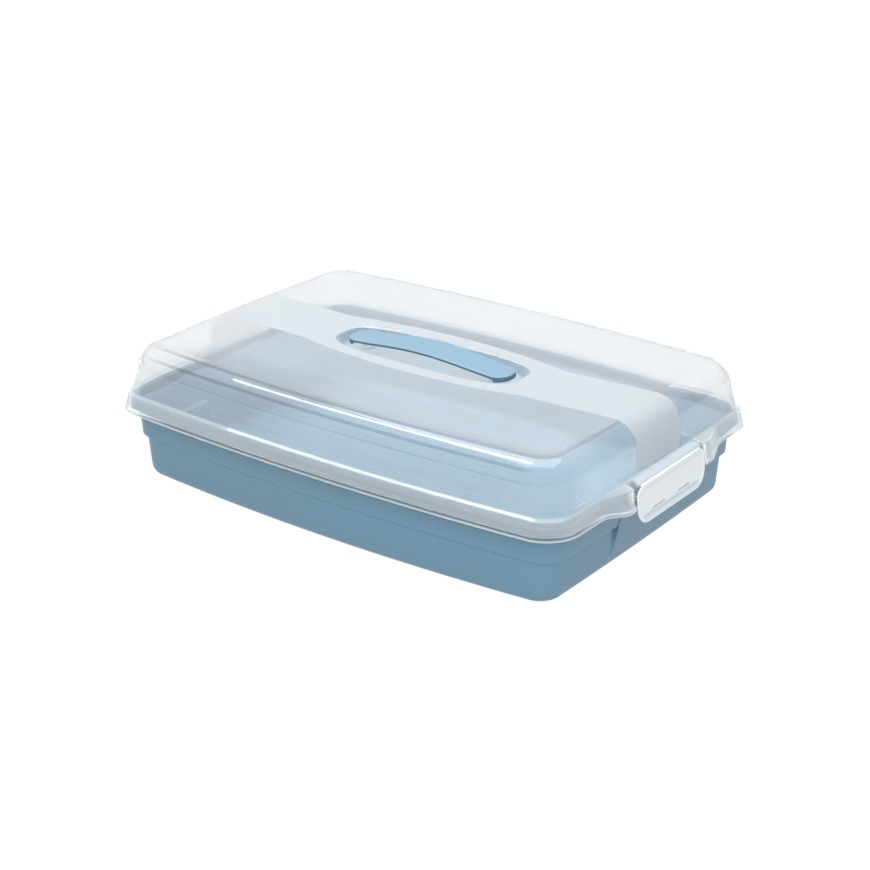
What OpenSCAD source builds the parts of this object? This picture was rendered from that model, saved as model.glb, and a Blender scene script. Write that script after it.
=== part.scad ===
// Cake carrier: a deep tray, a clear lift-off lid with a carrying handle, and a hinged clip
// on each short end. X runs along the long side, Y across it and Z up.
// The origin is the middle of the underside of the tray.

/* [Rim outline] */
// Length of the lid's lip between its corners
rim_length = 416; // [390:1:450]
// Width of the lid's lip across its middle
rim_width = 295; // [270:1:320]
// How far each long side bows outward
side_bow = 9.5; // [2:0.5:12]
// How far each short end bows outward
end_bow = 1.5; // [0:0.5:3]
// Corner radius of the lip
rim_corner = 25; // [22:1:36]
// How far the lid's rim swells outward on both sides of a clip
ear_out = 6.5; // [5:0.5:8]
// How far the lip drops there
ear_drop = 4; // [2:0.5:5]
// Distance from the middle of a short end at which that swelling is full
ear_full = 56; // [54:1:60]
// Distance from the middle of a short end at which it begins
ear_start = 84; // [80:1:88]
// Width of the slope at each side of a lug or a notch
side_slope = 3; // [2:0.5:4]

/* [Tray] */
// Height of the tray's rim
tray_height = 69; // [66:0.5:76]
// Wall thickness of the tray
tray_wall = 2; // [1.6:0.1:2.4]
// Thickness of the tray's floor
floor_thick = 2.6; // [2:0.1:4]
// Height of the step below the upper band
step_height = 35.5; // [30:0.5:42]
// Distance from the lip in to the upper band
band_inset = 11.4; // [10.5:0.1:13]
// Width of the step on the long sides
step_side = 1.6; // [1:0.1:3]
// Width of the step on the short ends
step_end = 3.4; // [2:0.1:5]
// Draft of the upper band over its height
band_draft = 1.6; // [0.5:0.1:2]
// Draft of the lower wall over its height
low_draft = 2; // [0.5:0.1:4]
// Corner radius of the upper band
band_corner = 16; // [12:1:20]
// Radius of the edge round the underside
base_round = 9; // [5:0.5:12]
// Height of the rim's turned-down flange
flange_height = 9; // [6:0.5:11]
// Half width of the lug that a clip hooks under
lug_half = 43; // [38:1:44]
// How much deeper than the flange the lug reaches
lug_drop = 9.5; // [8.5:0.5:11]
// Rounding between the flange and the wall behind it
fold_round = 0.5; // [0.3:0.1:1]
// Gap between the flange and the wall behind it, near the clips
fold_gap = 0.6; // [0.4:0.1:1]
// Rounding of the rim's outer edge
rim_round = 1.2; // [0.8:0.1:1.6]
// Rounding of the step
step_round = 0.8; // [0.4:0.1:1]
// Height from which the lower wall slopes out below a clip
ear_foot = 8; // [4:1:12]

/* [Lid] */
// Wall thickness of the lid
lid_wall = 1.6; // [1.2:0.1:2]
// Height of the rim of the lid's top face
lid_height = 109; // [100:1:120]
// How far the top face sinks from its rim to the recess
dish = 2.2; // [0:0.2:4]
// Gap between the tray's rim and the lid
seat_gap = 0.3; // [0.2:0.05:0.5]
// Gap between the tray's flange and the lid's skirt
skirt_gap = 0.5; // [0.3:0.05:0.7]
// Height of the lid's lower edge
lip_bottom = 57.4; // [55:0.2:59]
// Height of the thickened lip
lip_height = 3; // [2:0.2:4]
// Rounding of the lip's edges
lip_round = 0.6; // [0.3:0.1:0.8]
// How far the lip stands out from the skirt
lip_proud = 1.4; // [0.8:0.1:2]
// Draft of the skirt over its height
skirt_draft = 2.3; // [1:0.1:3]
// Width of the flat shoulder above the skirt
shoulder_width = 2.9; // [2.2:0.1:4]
// Radius of the lid's upper edge
top_round = 20; // [12:1:22]
// Corner radius where the upper edge starts to round over
top_corner = 26; // [24:1:32]
// Half width of the notch that a clip sits in
notch_half = 49; // [48.5:0.5:51]
// How far the rim still stands out in that notch
notch_left = 1; // [0.5:0.5:2]
// Draft of the long walls above the shoulder
wall_draft = 0.8; // [0.4:0.1:2]
// Draft of the end walls above the shoulder
end_draft = 2; // [0.4:0.1:3]
// How much more the end walls bow outward at the top
end_swell = 1.5; // [0:0.5:2]
// Rounding of the shoulder and of the recess
edge_round = 1; // [0.6:0.1:1.1]

/* [Handle and its recess] */
// Distance from an end of the handle to the edge of the recess
recess_end_gap = 9; // [6:0.5:12]
// Distance from a side of the handle's ends to the edge of the recess
recess_side_gap = 13.5; // [10:0.5:18]
// Depth of the recess below the sunken top face
recess_depth = 8; // [7:0.5:12]
// How full the oval is; 2 is an ellipse
recess_fullness = 3.5; // [2.2:0.1:4]
// Width of the sloping side of the recess
recess_slope = 4; // [3:0.5:5]
// Size of the rounding at the foot of that side
recess_foot = 3; // [2:0.5:3]
// Length of the handle
handle_length = 151; // [140:1:175]
// Width of the handle at its ends
handle_end_width = 27; // [22:1:30]
// Width of the handle at its middle
handle_mid_width = 30; // [22:1:32]
// Width of the handle at the necks next to its ends
handle_neck_width = 26.5; // [20:0.5:27]
// Distance from the end of the handle to a neck
neck_place = 17; // [14:1:22]
// Height of the top of the arch over the lid
handle_rise = 4; // [3:0.5:12]
// How far the ends lie below the top of the arch
arch_rise = 5.3; // [4:0.1:7]
// Thickness of the strap
strap_thick = 2.4; // [2:0.1:3]
// Distance from the end of the handle to the middle of a post
post_place = 15.5; // [14:0.5:20]
// Diameter of a post
post_diameter = 9; // [8:0.5:11]
// Gap in height between the top of a post and the strap's lowest point over it
boss_height = 0.6; // [0.4:0.1:1]
// How much wider than the post the boss under the strap is
boss_proud = 1; // [0.5:0.5:2]
// Diameter of the pin on top of a post
pin_diameter = 5.8; // [4:0.2:7]
// Clearance round the pin
pin_clearance = 0.1; // [0.05:0.05:0.3]
// Clearance over the pin
socket_gap = 0.2; // [0.1:0.1:0.4]
// Thickness of the handle over the pin
pin_roof = 1.6; // [1.2:0.1:1.8]
// Length of the skirt round each end
cap_length = 9; // [7:0.5:10]
// Distance from the recess floor up to that skirt
cap_lift = 5.4; // [2:0.2:6]
// Corner radius of the handle's ends
end_round = 12; // [5:0.5:13]

/* [Clips] */
// Half width of a clip at its hinge line
clip_half = 42; // [38:1:43]
// How much narrower than the top of the flap the saddle is, at each side
saddle_inset = 1; // [0.5:0.5:2]
// Half width of the flap at its widest
flap_half = 48; // [45:0.5:48]
// Thickness of the saddle on the shoulder
saddle_thick = 1.6; // [1.4:0.1:2.4]
// Distance from the rounding at the foot of the lid's wall to the saddle
saddle_gap = 0.5; // [0.2:0.1:0.8]
// Bevel along the saddle's inner edge
saddle_edge = 1; // [0.4:0.1:1.2]
// Width of the saddle's flat top
saddle_flat = 4.7; // [4:0.1:5]
// Corner radius of the saddle
saddle_corner = 5; // [2:0.5:5]
// Thickness of the saddle round the hinge bead
nose_wall = 0.8; // [0.6:0.1:1]
// Distance from the lid's skirt out to the flap
flap_gap = 3; // [2:0.1:4]
// Thickness of the flap
flap_thick = 2.2; // [1.8:0.1:2.6]
// Height of the flap's lower edge
flap_bottom = 40; // [36:0.5:43]
// How far the flap's lower edge flares outward
flap_flare = 2.7; // [1:0.1:4]
// Corner radius of the flap's lower edge
flap_corner = 18; // [10:1:19]
// Height over which the flap widens below the hinge line
flap_widen = 9; // [6:1:12]
// Depth of the hinge line below the lid's shoulder
hinge_drop = 1.8; // [1.4:0.1:2.2]
// Clearance round the hinge bead at the top of the flap
bead_clearance = 0.2; // [0.15:0.05:0.3]
// How far each hook reaches under the lug
hook_catch = 1.2; // [0.8:0.1:1.6]
// Gap between a hook and the lug's lower edge
hook_gap = 0.3; // [0.2:0.05:0.5]
// Height of a hook
hook_height = 2; // [1.6:0.1:3]
// Size of the bevel under a hook's tip
hook_bevel = 1; // [0.6:0.1:1.2]
// Length of a hook and of the slot under it
hook_length = 17; // [12:1:20]
// Distance from the middle to the near end of a hook
hook_start = 9; // [6:1:14]
// Height of the slot under a hook
slot_height = 1.2; // [1:0.1:1.6]
// Diameter of the pegs that hold a saddle
peg_diameter = 1.4; // [1:0.1:1.6]
// Distance from the middle to each peg
peg_place = 30; // [20:1:34]
// Distance from the saddle's inner edge to a peg
peg_margin = 0.2; // [0.2:0.1:0.4]
// Clearance round a peg
peg_clearance = 0.1; // [0.05:0.05:0.2]

/* [Hidden] */
blue = [0.49, 0.66, 0.77];
clear = [0.86, 0.90, 0.92, 0.45];
frosted = [0.88, 0.91, 0.93, 0.8];

// How far a cutting shape reaches past what it cuts
spare = 1;
half_length = rim_length / 2;
half_width = rim_width / 2 - side_bow;
end_reach = half_length + end_bow;

// Shares -----------------------------------------------------------------------------
function share(value) = min(1, max(0, value));
function fall(at, near, far) = let (t = share((far - at) / (far - near))) t * t * (3 - 2 * t);
function ear_share(y) = fall(abs(y), ear_full, ear_start);
function notch_share(y) = fall(abs(y), notch_half, notch_half + side_slope);
function lug_share(y) = fall(abs(y), lug_half, lug_half + side_slope);

// Rings ------------------------------------------------------------------------------
// A ring holds [end inset, side inset, corner radius, height, ear, notch, lug, lip drop,
// lug drop, end bow]. Ear, notch and lug say how far each short end moves out or in there.
least_corner = 3;
function ring(end, side, r, z, ear = 0, notch = 0, lug = 0, lip_drop = 0, lug_down = 0, bow = end_bow) =
    [end, side, max(r, least_corner), z, ear, notch, lug, lip_drop, lug_down, bow];

// Points on a quarter: stations up the short end, steps round the corner, shares of the side
swell_steps = 4;
end_stations = concat(
    [0, lug_half, lug_half + side_slope, notch_half, notch_half + side_slope, ear_full],
    [for (i = [1:swell_steps]) ear_full + (ear_start - ear_full) * i / swell_steps]);
corner_steps = 6;
side_shares = [0.66, 0.33, 0];
quarter_points = len(end_stations) + corner_steps + 1 + len(side_shares);

function quarter(hx, hy, r) = concat(
    [for (y = end_stations) [hx, y]],
    [for (i = [0:corner_steps])
        let (a = 90 * i / corner_steps) [hx - r + r * cos(a), hy - r + r * sin(a)]],
    [for (s = side_shares) [s * (hx - r), hy]]);
function end_move(y, hy, g) =
    g[9] * (1 - pow(y / hy, 2)) + g[4] * ear_share(y) - g[5] * notch_share(y) + g[6] * lug_share(y);
function placed(p, hx, hy, r, g) = [
    p[0] + share((p[0] - hx + r) / r) * end_move(p[1], hy, g),
    p[1] + share((p[1] - hy + r) / r) * side_bow * (1 - pow(p[0] / hx, 2)),
    g[3] - g[7] * (ear_share(p[1]) - notch_share(p[1])) - g[8] * lug_share(p[1])];

// A whole ring from its first quarter
function all_round(q) = let (n = len(q)) concat(
    q,
    [for (i = [n - 2:-1:0]) [-q[i][0], q[i][1], q[i][2]]],
    [for (i = [1:n - 1]) [-q[i][0], -q[i][1], q[i][2]]],
    [for (i = [n - 2:-1:1]) [q[i][0], -q[i][1], q[i][2]]]);
function rim_ring(g) =
    let (hx = half_length - g[0], hy = half_width - g[1])
    all_round([for (p = quarter(hx, hy, g[2])) placed(p, hx, hy, g[2], g)]);

// A closed solid through a list of rings, capped on the first and the last
module loft(rings) {
    count = len(rings[0]);
    last = (len(rings) - 1) * count;
    polyhedron(
        points = [for (r = rings) for (p = r) p],
        faces = concat(
            [[for (i = [0:count - 1]) i]],
            [for (k = [0:len(rings) - 2]) for (i = [0:count - 1])
                [k * count + i, (k + 1) * count + i, (k + 1) * count + (i + 1) % count]],
            [for (k = [0:len(rings) - 2]) for (i = [0:count - 1])
                [k * count + i, (k + 1) * count + (i + 1) % count, k * count + (i + 1) % count]],
            [[for (i = [count - 1:-1:0]) last + i]]),
        convexity = 8);
}

// Tray -------------------------------------------------------------------------------
// The flange hangs inside the lid's skirt. Lid and tray share these insets.
skirt_inset = lip_proud + skirt_draft;
shoulder_top = tray_height + seat_gap + lid_wall;
skirt_height = shoulder_top - lip_bottom;
flange_top_inset = skirt_inset + lid_wall + skirt_gap;
flange_low_inset = flange_top_inset - skirt_draft * flange_height / skirt_height;
flange_bottom = tray_height - flange_height;
lug_bottom = flange_bottom - lug_drop;
lug_face = end_reach - flange_low_inset + notch_left;
fold_height = tray_height - tray_wall - fold_round;
fillet_steps = 4;
// How far the tray's own wall swells on both sides of a clip, so that it fills the flange
tray_ear = band_inset - band_draft - flange_low_inset - tray_wall + notch_left - fold_gap;

function band_at(z) = band_inset - band_draft * (z - step_height) / (tray_height - step_height);
function low_at(z) = low_draft * (1 - z / step_height);
function slope_at(z) = step_end * (min(z, step_height) - ear_foot) / (step_height - ear_foot);
function rise_at(z) = share((z - step_height) / (flange_bottom - step_height));
function band_ring(extra, z, r) = rim_ring(ring(
    band_at(z) + extra, band_at(z) + extra, r, z,
    ear = tray_ear * rise_at(z),
    lug = z < step_height ? slope_at(z) - step_end + min(extra, step_round) : 0));
function low_ring(extra, z, r) = rim_ring(ring(
    band_inset + step_end + low_at(z) + extra, band_inset + step_side + low_at(z) + extra, r, z,
    lug = max(0, slope_at(z))));
function flange_ring(inset, z, down = 0) = rim_ring(ring(
    inset, inset, rim_corner - inset, z, ear = notch_left, lug_down = down));
function fillet_ring(wall, z0, a) =
    let (r = base_round - wall, e = r * (1 - sin(a)))
    low_ring(wall + e, z0 + r * (1 - cos(a)), band_corner - wall - 0.8 * e);
function fillet_angle(i) = 90 * i / fillet_steps;

tray_rings = concat(
    [for (i = [0:fillet_steps]) fillet_ring(0, 0, fillet_angle(i))],
    [low_ring(0, step_height - 2 * step_round, band_corner),
     band_ring(step_round, step_height - step_round, band_corner),
     band_ring(0, step_height, band_corner),
     band_ring(0, fold_height, band_corner),
     flange_ring(flange_low_inset + tray_wall, fold_height),
     flange_ring(flange_low_inset + tray_wall, flange_bottom, lug_drop),
     flange_ring(flange_low_inset, flange_bottom, lug_drop),
     flange_ring(flange_top_inset, tray_height - rim_round),
     flange_ring(flange_top_inset + rim_round, tray_height),
     band_ring(tray_wall - rim_round, tray_height, band_corner - tray_wall + rim_round),
     band_ring(tray_wall, tray_height - rim_round, band_corner - tray_wall),
     band_ring(tray_wall, step_height + step_round, band_corner - tray_wall),
     low_ring(tray_wall, step_height - step_round, band_corner - tray_wall)],
    [for (i = [fillet_steps:-1:0]) fillet_ring(tray_wall, floor_thick, fillet_angle(i))]);

module tray() {
    color(blue) loft(tray_rings);
}

// Lid --------------------------------------------------------------------------------
wall_inset = skirt_inset + shoulder_width;
lip_top = lip_bottom + lip_height;
recess_half_length = handle_length / 2 + recess_end_gap;
recess_half_width = handle_end_width / 2 + recess_side_gap;
recess_top = lid_height - dish;
recess_floor = recess_top - recess_depth;
top_steps = 5;

// A ring of the lid's rim
function skirt_ring(inset, z, drop = 0) = rim_ring(ring(
    inset, inset, rim_corner - inset, z, ear = ear_out, notch = ear_out - notch_left,
    lip_drop = drop));
// An upper wall ring, from the shoulder (rise 0) to where the edge rounds over (rise 1)
function wall_ring(extra, z, rise) = rim_ring(ring(
    wall_inset + end_draft * rise + extra, wall_inset + wall_draft * rise + extra,
    rim_corner - wall_inset + (top_corner - rim_corner + wall_inset) * rise - extra, z,
    bow = end_bow + end_swell * rise));
function edge_ring(wall, a) =
    let (r = top_round - wall, e = r * (1 - cos(a)))
    wall_ring(wall + e, lid_height - top_round + r * sin(a), 1);
function recess_point(a, b, t, z) =
    [a * pow(cos(t), 2 / recess_fullness), b * pow(sin(t), 2 / recess_fullness), z];
function recess_ring(inset, z) = all_round([for (i = [0:quarter_points - 1])
    recess_point(recess_half_length - inset, recess_half_width - inset,
                 90 * i / (quarter_points - 1), z)]);

lid_rings = concat(
    // Inside, from the middle out and down
    [recess_ring(recess_slope + recess_foot - lid_wall / 2, recess_floor - lid_wall),
     recess_ring(recess_slope - lid_wall, recess_floor + recess_foot - lid_wall / 2),
     recess_ring(-lid_wall, recess_top - lid_wall - edge_round),
     recess_ring(-lid_wall - edge_round, recess_top - lid_wall)],
    [for (i = [top_steps:-1:0]) edge_ring(lid_wall, 90 * i / top_steps)],
    [wall_ring(lid_wall, shoulder_top, 0),
     wall_ring(lid_wall - edge_round, shoulder_top - lid_wall, 0),
     skirt_ring(skirt_inset + lid_wall, shoulder_top - lid_wall),
     skirt_ring(lip_proud + lid_wall, lip_bottom, ear_drop)],
    // Outside, from the lip up and in
    [skirt_ring(lip_round, lip_bottom, ear_drop),
     skirt_ring(0, lip_bottom + lip_round, ear_drop),
     skirt_ring(0, lip_top - lip_round, ear_drop),
     skirt_ring(lip_proud, lip_top + lip_round, ear_drop),
     skirt_ring(skirt_inset, shoulder_top - edge_round),
     skirt_ring(skirt_inset + edge_round, shoulder_top),
     wall_ring(-edge_round, shoulder_top, 0),
     wall_ring(0, shoulder_top + edge_round, 0)],
    [for (i = [0:top_steps]) edge_ring(0, 90 * i / top_steps)],
    [recess_ring(0, recess_top),
     recess_ring(edge_round, recess_top - edge_round),
     recess_ring(recess_slope, recess_floor + recess_foot),
     recess_ring(recess_slope + recess_foot, recess_floor)]);

module posts() {
    for (side = [-1, 1]) translate([side * post_x, 0, recess_floor - lid_wall / 2]) {
        cylinder(d = post_diameter, h = post_top - recess_floor + lid_wall / 2, $fn = 48);
        cylinder(d = pin_diameter, h = pin_top - recess_floor + lid_wall / 2, $fn = 48);
    }
}

module lid() {
    color(clear) difference() {
        union() {
            loft(lid_rings);
            posts();
        }
        for (turn = [0, 180]) rotate([0, 0, turn])
            pegs(peg_diameter + 2 * peg_clearance, seat_gap);
    }
}

// Handle -----------------------------------------------------------------------------
handle_top = lid_height + handle_rise;
half_handle = handle_length / 2;
cap_start = half_handle - cap_length;
cap_bottom = recess_floor + cap_lift;
post_x = half_handle - post_place;
post_top = arch(post_x + post_diameter / 2) - strap_thick - boss_height;
pin_top = arch(post_x) - pin_roof;
neck_x = half_handle - neck_place;
arch_steps = 20;
end_steps = 5;
side_steps = 5;

function arch(x) = handle_top - arch_rise * pow(sin(90 * x / half_handle), 2);
function along(i, reach) = reach * (2 * i / arch_steps - 1);

module handle_side() {
    polygon(concat(
        [for (i = [0:arch_steps]) [along(i, half_handle), arch(along(i, half_handle))]],
        [[half_handle, cap_bottom], [cap_start, cap_bottom]],
        [for (i = [arch_steps:-1:0]) [along(i, cap_start), arch(along(i, cap_start)) - strap_thick]],
        [[-cap_start, cap_bottom], [-half_handle, cap_bottom]]));
}

function strap_half_width(x) =
    (handle_neck_width + (handle_mid_width - handle_neck_width) * pow(cos(90 * x / neck_x), 2)) / 2;
function handle_quarter() = concat(
    [for (i = [0:end_steps])
        let (a = 90 * i / end_steps)
        [half_handle - end_round * (1 - cos(a)), handle_end_width / 2 - end_round * (1 - sin(a))]],
    [for (i = [side_steps:-1:0]) [neck_x * i / side_steps, strap_half_width(neck_x * i / side_steps)]]);

module handle_plan() {
    q = handle_quarter();
    n = len(q);
    polygon(concat(
        q,
        [for (i = [n - 2:-1:0]) [-q[i][0], q[i][1]]],
        [for (i = [0:n - 1]) [-q[i][0], -q[i][1]]],
        [for (i = [n - 2:-1:0]) [q[i][0], -q[i][1]]]));
}

module handle() {
    color(blue) difference() {
        union() {
            intersection() {
                rotate([90, 0, 0]) linear_extrude(handle_mid_width + 2 * spare, center = true)
                    handle_side();
                translate([0, 0, recess_floor]) linear_extrude(handle_top) handle_plan();
            }
            for (side = [-1, 1]) translate([side * post_x, 0, post_top])
                cylinder(d = post_diameter + boss_proud, h = pin_top - post_top, $fn = 48);
        }
        for (side = [-1, 1]) translate([side * post_x, 0, post_top - spare])
            cylinder(d = pin_diameter + 2 * pin_clearance, h = pin_top + socket_gap - post_top + spare,
                     $fn = 48);
    }
}

// Clips ------------------------------------------------------------------------------
// The right clip. The hinge line runs along Y at the top of the flap, which ends in a bead.
bead_radius = flap_thick / 2;
groove_radius = bead_radius + bead_clearance;
notch_face = end_reach + notch_left - lip_proud;
flap_inner = notch_face + flap_gap;
hinge_x = flap_inner + flap_thick / 2;
hinge_z = shoulder_top - hinge_drop;
saddle_inner = end_reach - wall_inset + edge_round + saddle_gap;
saddle_top = shoulder_top + saddle_thick;
saddle_foot = saddle_inner + 2 * peg_margin + peg_diameter;
saddle_half = clip_half - saddle_inset;
peg_x = saddle_inner + peg_margin + peg_diameter / 2;
nose_top_angle = 112;
nose_low_angle = 184;

function nose(angle) = let (r = groove_radius + nose_wall)
    [hinge_x + r * cos(angle), hinge_z + r * sin(angle)];

module pegs(diameter, extra) {
    for (side = [-1, 1]) translate([peg_x, side * peg_place, shoulder_top - lid_wall - extra])
        cylinder(d = diameter, h = lid_wall + 2 * extra, $fn = 32);
}

module saddle() {
    difference() {
        intersection() {
            rotate([90, 0, 0]) linear_extrude(2 * saddle_half, center = true) polygon([
                [saddle_inner, shoulder_top],
                [saddle_inner, saddle_top - saddle_edge],
                [saddle_inner + saddle_edge, saddle_top],
                [saddle_inner + saddle_flat, saddle_top],
                nose(nose_top_angle),
                [hinge_x, hinge_z],
                nose(nose_low_angle),
                [saddle_foot, shoulder_top]]);
            translate([0, 0, hinge_z - groove_radius])
                linear_extrude(saddle_top - hinge_z + 2 * groove_radius) saddle_plan();
        }
        translate([hinge_x, 0, hinge_z]) rotate([90, 0, 0])
            cylinder(r = groove_radius, h = 2 * clip_half, center = true, $fn = 32);
    }
    pegs(peg_diameter, 0);
}

module saddle_plan() {
    polygon(concat(
        [[hinge_x + spare, -saddle_half], [hinge_x + spare, saddle_half]],
        [for (a = [90:22.5:180])
            [saddle_inner + saddle_corner * (1 + cos(a)), saddle_half - saddle_corner * (1 - sin(a))]],
        [for (a = [180:22.5:270])
            [saddle_inner + saddle_corner * (1 + cos(a)), saddle_corner * (1 + sin(a)) - saddle_half]]));
}

// The flap seen from the side: it leans and curves outward towards its lower edge
flap_steps = 8;
function flap_drop(i) = hinge_z - (hinge_z - flap_bottom) * i / flap_steps;
function flap_curve(z) = flap_flare * pow((hinge_z - z) / (hinge_z - flap_bottom), 1.3);

module flap_side() {
    polygon(concat(
        [for (i = [0:flap_steps]) [flap_inner + flap_thick + flap_curve(flap_drop(i)), flap_drop(i)]],
        [for (i = [flap_steps:-1:0]) [flap_inner + flap_curve(flap_drop(i)), flap_drop(i)]]));
}

// The flap seen from the front, as [y, z]
corner_bend = 15;
module flap_front() {
    side = concat(
        [[clip_half, hinge_z + spare], [clip_half, hinge_z],
         [clip_half + 0.8 * (flap_half - clip_half), hinge_z - flap_widen / 2],
         [flap_half, hinge_z - flap_widen]],
        [for (a = [0:-corner_bend:-90])
            [flap_half - flap_corner * (1 - cos(a)), flap_bottom + flap_corner * (1 + sin(a))]]);
    n = len(side);
    polygon(concat(side, [for (i = [n - 1:-1:0]) [-side[i][0], side[i][1]]]));
}

hook_top = lug_bottom - hook_gap;
hook_tip = lug_face - hook_catch;
hook_root = flap_inner + flap_thick / 2 + flap_curve(hook_top);
hook_place = hook_start + hook_length / 2;

module hook() {
    rotate([90, 0, 0]) linear_extrude(hook_length, center = true) polygon([
        [hook_tip, hook_top],
        [hook_root, hook_top],
        [hook_root, hook_top - hook_height],
        [hook_tip + hook_bevel, hook_top - hook_height],
        [hook_tip, hook_top - hook_height + hook_bevel]]);
}

module flap() {
    difference() {
        union() {
            intersection() {
                rotate([90, 0, 0]) linear_extrude(2 * (flap_half + spare), center = true) flap_side();
                translate([flap_inner - spare, 0, 0]) rotate([90, 0, 90])
                    linear_extrude(flap_thick + flap_flare + 2 * spare) flap_front();
            }
            translate([hinge_x, 0, hinge_z]) rotate([90, 0, 0])
                cylinder(r = bead_radius, h = 2 * saddle_half, center = true, $fn = 32);
            for (side = [-1, 1]) translate([0, side * hook_place, 0]) hook();
        }
        for (side = [-1, 1])
            translate([flap_inner, side * hook_place - hook_length / 2,
                       hook_top - hook_height - slot_height])
                cube([flap_thick + flap_flare + spare, hook_length, slot_height]);
    }
}

module right_clip_saddle() {
    color(frosted) saddle();
}

module right_clip_flap() {
    color(frosted) flap();
}

module left_clip_saddle() {
    color(frosted) rotate([0, 0, 180]) saddle();
}

module left_clip_flap() {
    color(frosted) rotate([0, 0, 180]) flap();
}

tray();
lid();
handle();
right_clip_saddle();
right_clip_flap();
left_clip_saddle();
left_clip_flap();
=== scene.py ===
"""Looks of the cake carrier: a satin blue tray, a clear lid with a frosted band, a strap handle
and two milky clips.

Lengths are written in millimetres. They become metres where a vertex is placed, and by MM where
a material asks where it is. Lamps and noise scales are in metres.
"""

from math import atan2, cos, hypot, pi, radians, sin

import bmesh
import bpy
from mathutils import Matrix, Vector


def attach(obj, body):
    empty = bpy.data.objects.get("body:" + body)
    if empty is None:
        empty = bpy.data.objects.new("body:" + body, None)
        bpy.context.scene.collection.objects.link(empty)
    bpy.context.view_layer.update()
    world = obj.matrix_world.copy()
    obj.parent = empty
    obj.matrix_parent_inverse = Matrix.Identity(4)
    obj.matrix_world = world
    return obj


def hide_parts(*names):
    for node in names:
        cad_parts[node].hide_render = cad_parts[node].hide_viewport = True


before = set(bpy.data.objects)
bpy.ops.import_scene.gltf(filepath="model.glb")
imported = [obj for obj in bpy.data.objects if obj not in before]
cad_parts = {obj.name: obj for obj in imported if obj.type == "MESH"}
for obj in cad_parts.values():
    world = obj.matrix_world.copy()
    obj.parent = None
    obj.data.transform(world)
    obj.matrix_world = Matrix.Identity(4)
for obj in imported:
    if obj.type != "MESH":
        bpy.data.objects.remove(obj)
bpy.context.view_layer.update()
MM = 0.001

# Sizes of the tray and the lid. The notch, the shoulder and the caps are finer than in the CAD --
HALF_LENGTH, HALF_WIDTH = 208.0, 138.0
SIDE_BOW, END_BOW, END_SWELL = 9.5, 1.5, 1.5
RIM_CORNER, LEAST_CORNER = 25.0, 3.0
EAR_FULL, EAR_START, EAR_OUT, EAR_DROP, TRAY_EAR = 56.0, 84.0, 6.5, 4.0, 3.93
NOTCH_FROM, NOTCH_TO, NOTCH_LEFT, LUG_HALF, SIDE_SLOPE = 48.3, 49.9, 1.0, 43.0, 3.0
TRAY_HEIGHT, TRAY_WALL, FLOOR_THICK, STEP_HEIGHT = 69.0, 2.0, 2.6, 35.5
BAND_INSET, BAND_DRAFT, LOW_DRAFT, BAND_CORNER = 11.4, 1.6, 2.0, 16.0
STEP_SIDE, STEP_END, STEP_ROUND, EAR_FOOT, BASE_ROUND = 1.6, 3.4, 0.8, 8.0, 9.0
FLANGE_BOTTOM, FLANGE_LOW_INSET, FLANGE_TOP_INSET = 60.0, 4.267, 5.8
LUG_DROP, FOLD_HEIGHT, INSIDE_TOP = 9.5, 66.5, 62.0
LID_WALL, LID_HEIGHT, TOP_ROUND, TOP_CORNER = 1.6, 109.0, 20.0, 26.0
LIP_BOTTOM, LIP_TOP, LIP_PROUD, SKIRT_INSET, SHOULDER_TOP = 57.4, 60.4, 1.4, 3.7, 70.9
WALL_INSET, WALL_DRAFT, END_DRAFT, SHOULDER_LOW, SHOULDER_HIGH = 6.6, 0.8, 2.0, 70.4, 72.28
RECESS_HALF_LENGTH, RECESS_HALF_WIDTH, RECESS_FULLNESS = 84.5, 27.0, 3.5
RECESS_TOP, RECESS_FLOOR = 106.8, 98.8
HANDLE_TOP, HALF_HANDLE, ARCH_RISE, STRAP_THICK = 113.0, 75.5, 5.3, 2.4
CAP_START, CAP_SKIRT = 66.5, 103.3
POST_X, POST_RADIUS, PIN_RADIUS, POST_TOP, PIN_TOP = 60.0, 4.5, 2.9, 104.97, 106.5
HINGE_X, HINGE_Z = 213.2, 69.1
FLAP_INNER, FLAP_FLARE, FLAP_BOTTOM, FINGER_Z = 212.1, 2.7, 40.0, 43.6
BAND_HALF, BAND_END_HALF, BAND_RADIUS = 42.0, 30.5, 450.0


# Rounding and rings ----------------------------------------------------------------------
CURVE_REACH, SUPPORT_REACH, SUPPORT_STEP = 0.45, 0.49, 1.25  # shares of the way to a neighbour


def between(a, b, t):
    return tuple(p + (q - p) * t for p, q in zip(a, b))


def softened(corners, sight=(0, 1), closed=False, steps=5):
    """A path whose marked corners become short curves, with a support point on each side."""
    path, last = [], len(corners) - 1
    for i, (corner, size) in enumerate(corners):
        if not size or (not closed and i in (0, last)):
            path.append(corner)
            continue
        ends = []
        for near in (corners[i - 1][0], corners[(i + 1) % len(corners)][0]):
            gap = hypot(*(near[s] - corner[s] for s in sight))
            reach = min(CURVE_REACH, size / gap)
            support = min(SUPPORT_REACH, reach * SUPPORT_STEP)
            ends.append((between(corner, near, reach), between(corner, near, support)))
        (start, before), (end, after) = ends
        path.append(before)
        for k in range(steps + 1):
            t = k / steps
            path.append(between(between(start, corner, t), between(corner, end, t), t))
        path.append(after)
    return path


def share(value):
    """A value held between 0 and 1."""
    return min(1.0, max(0.0, value))


def fall(at, near, far):
    """Falls smoothly from 1 at near to 0 at far."""
    t = share((far - at) / (far - near))
    return t * t * (3 - 2 * t)


def ear_share(y):
    return fall(abs(y), EAR_FULL, EAR_START)


def notch_share(y):
    return fall(abs(y), NOTCH_FROM, NOTCH_TO)


def lug_share(y):
    return fall(abs(y), LUG_HALF, LUG_HALF + SIDE_SLOPE)


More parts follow.
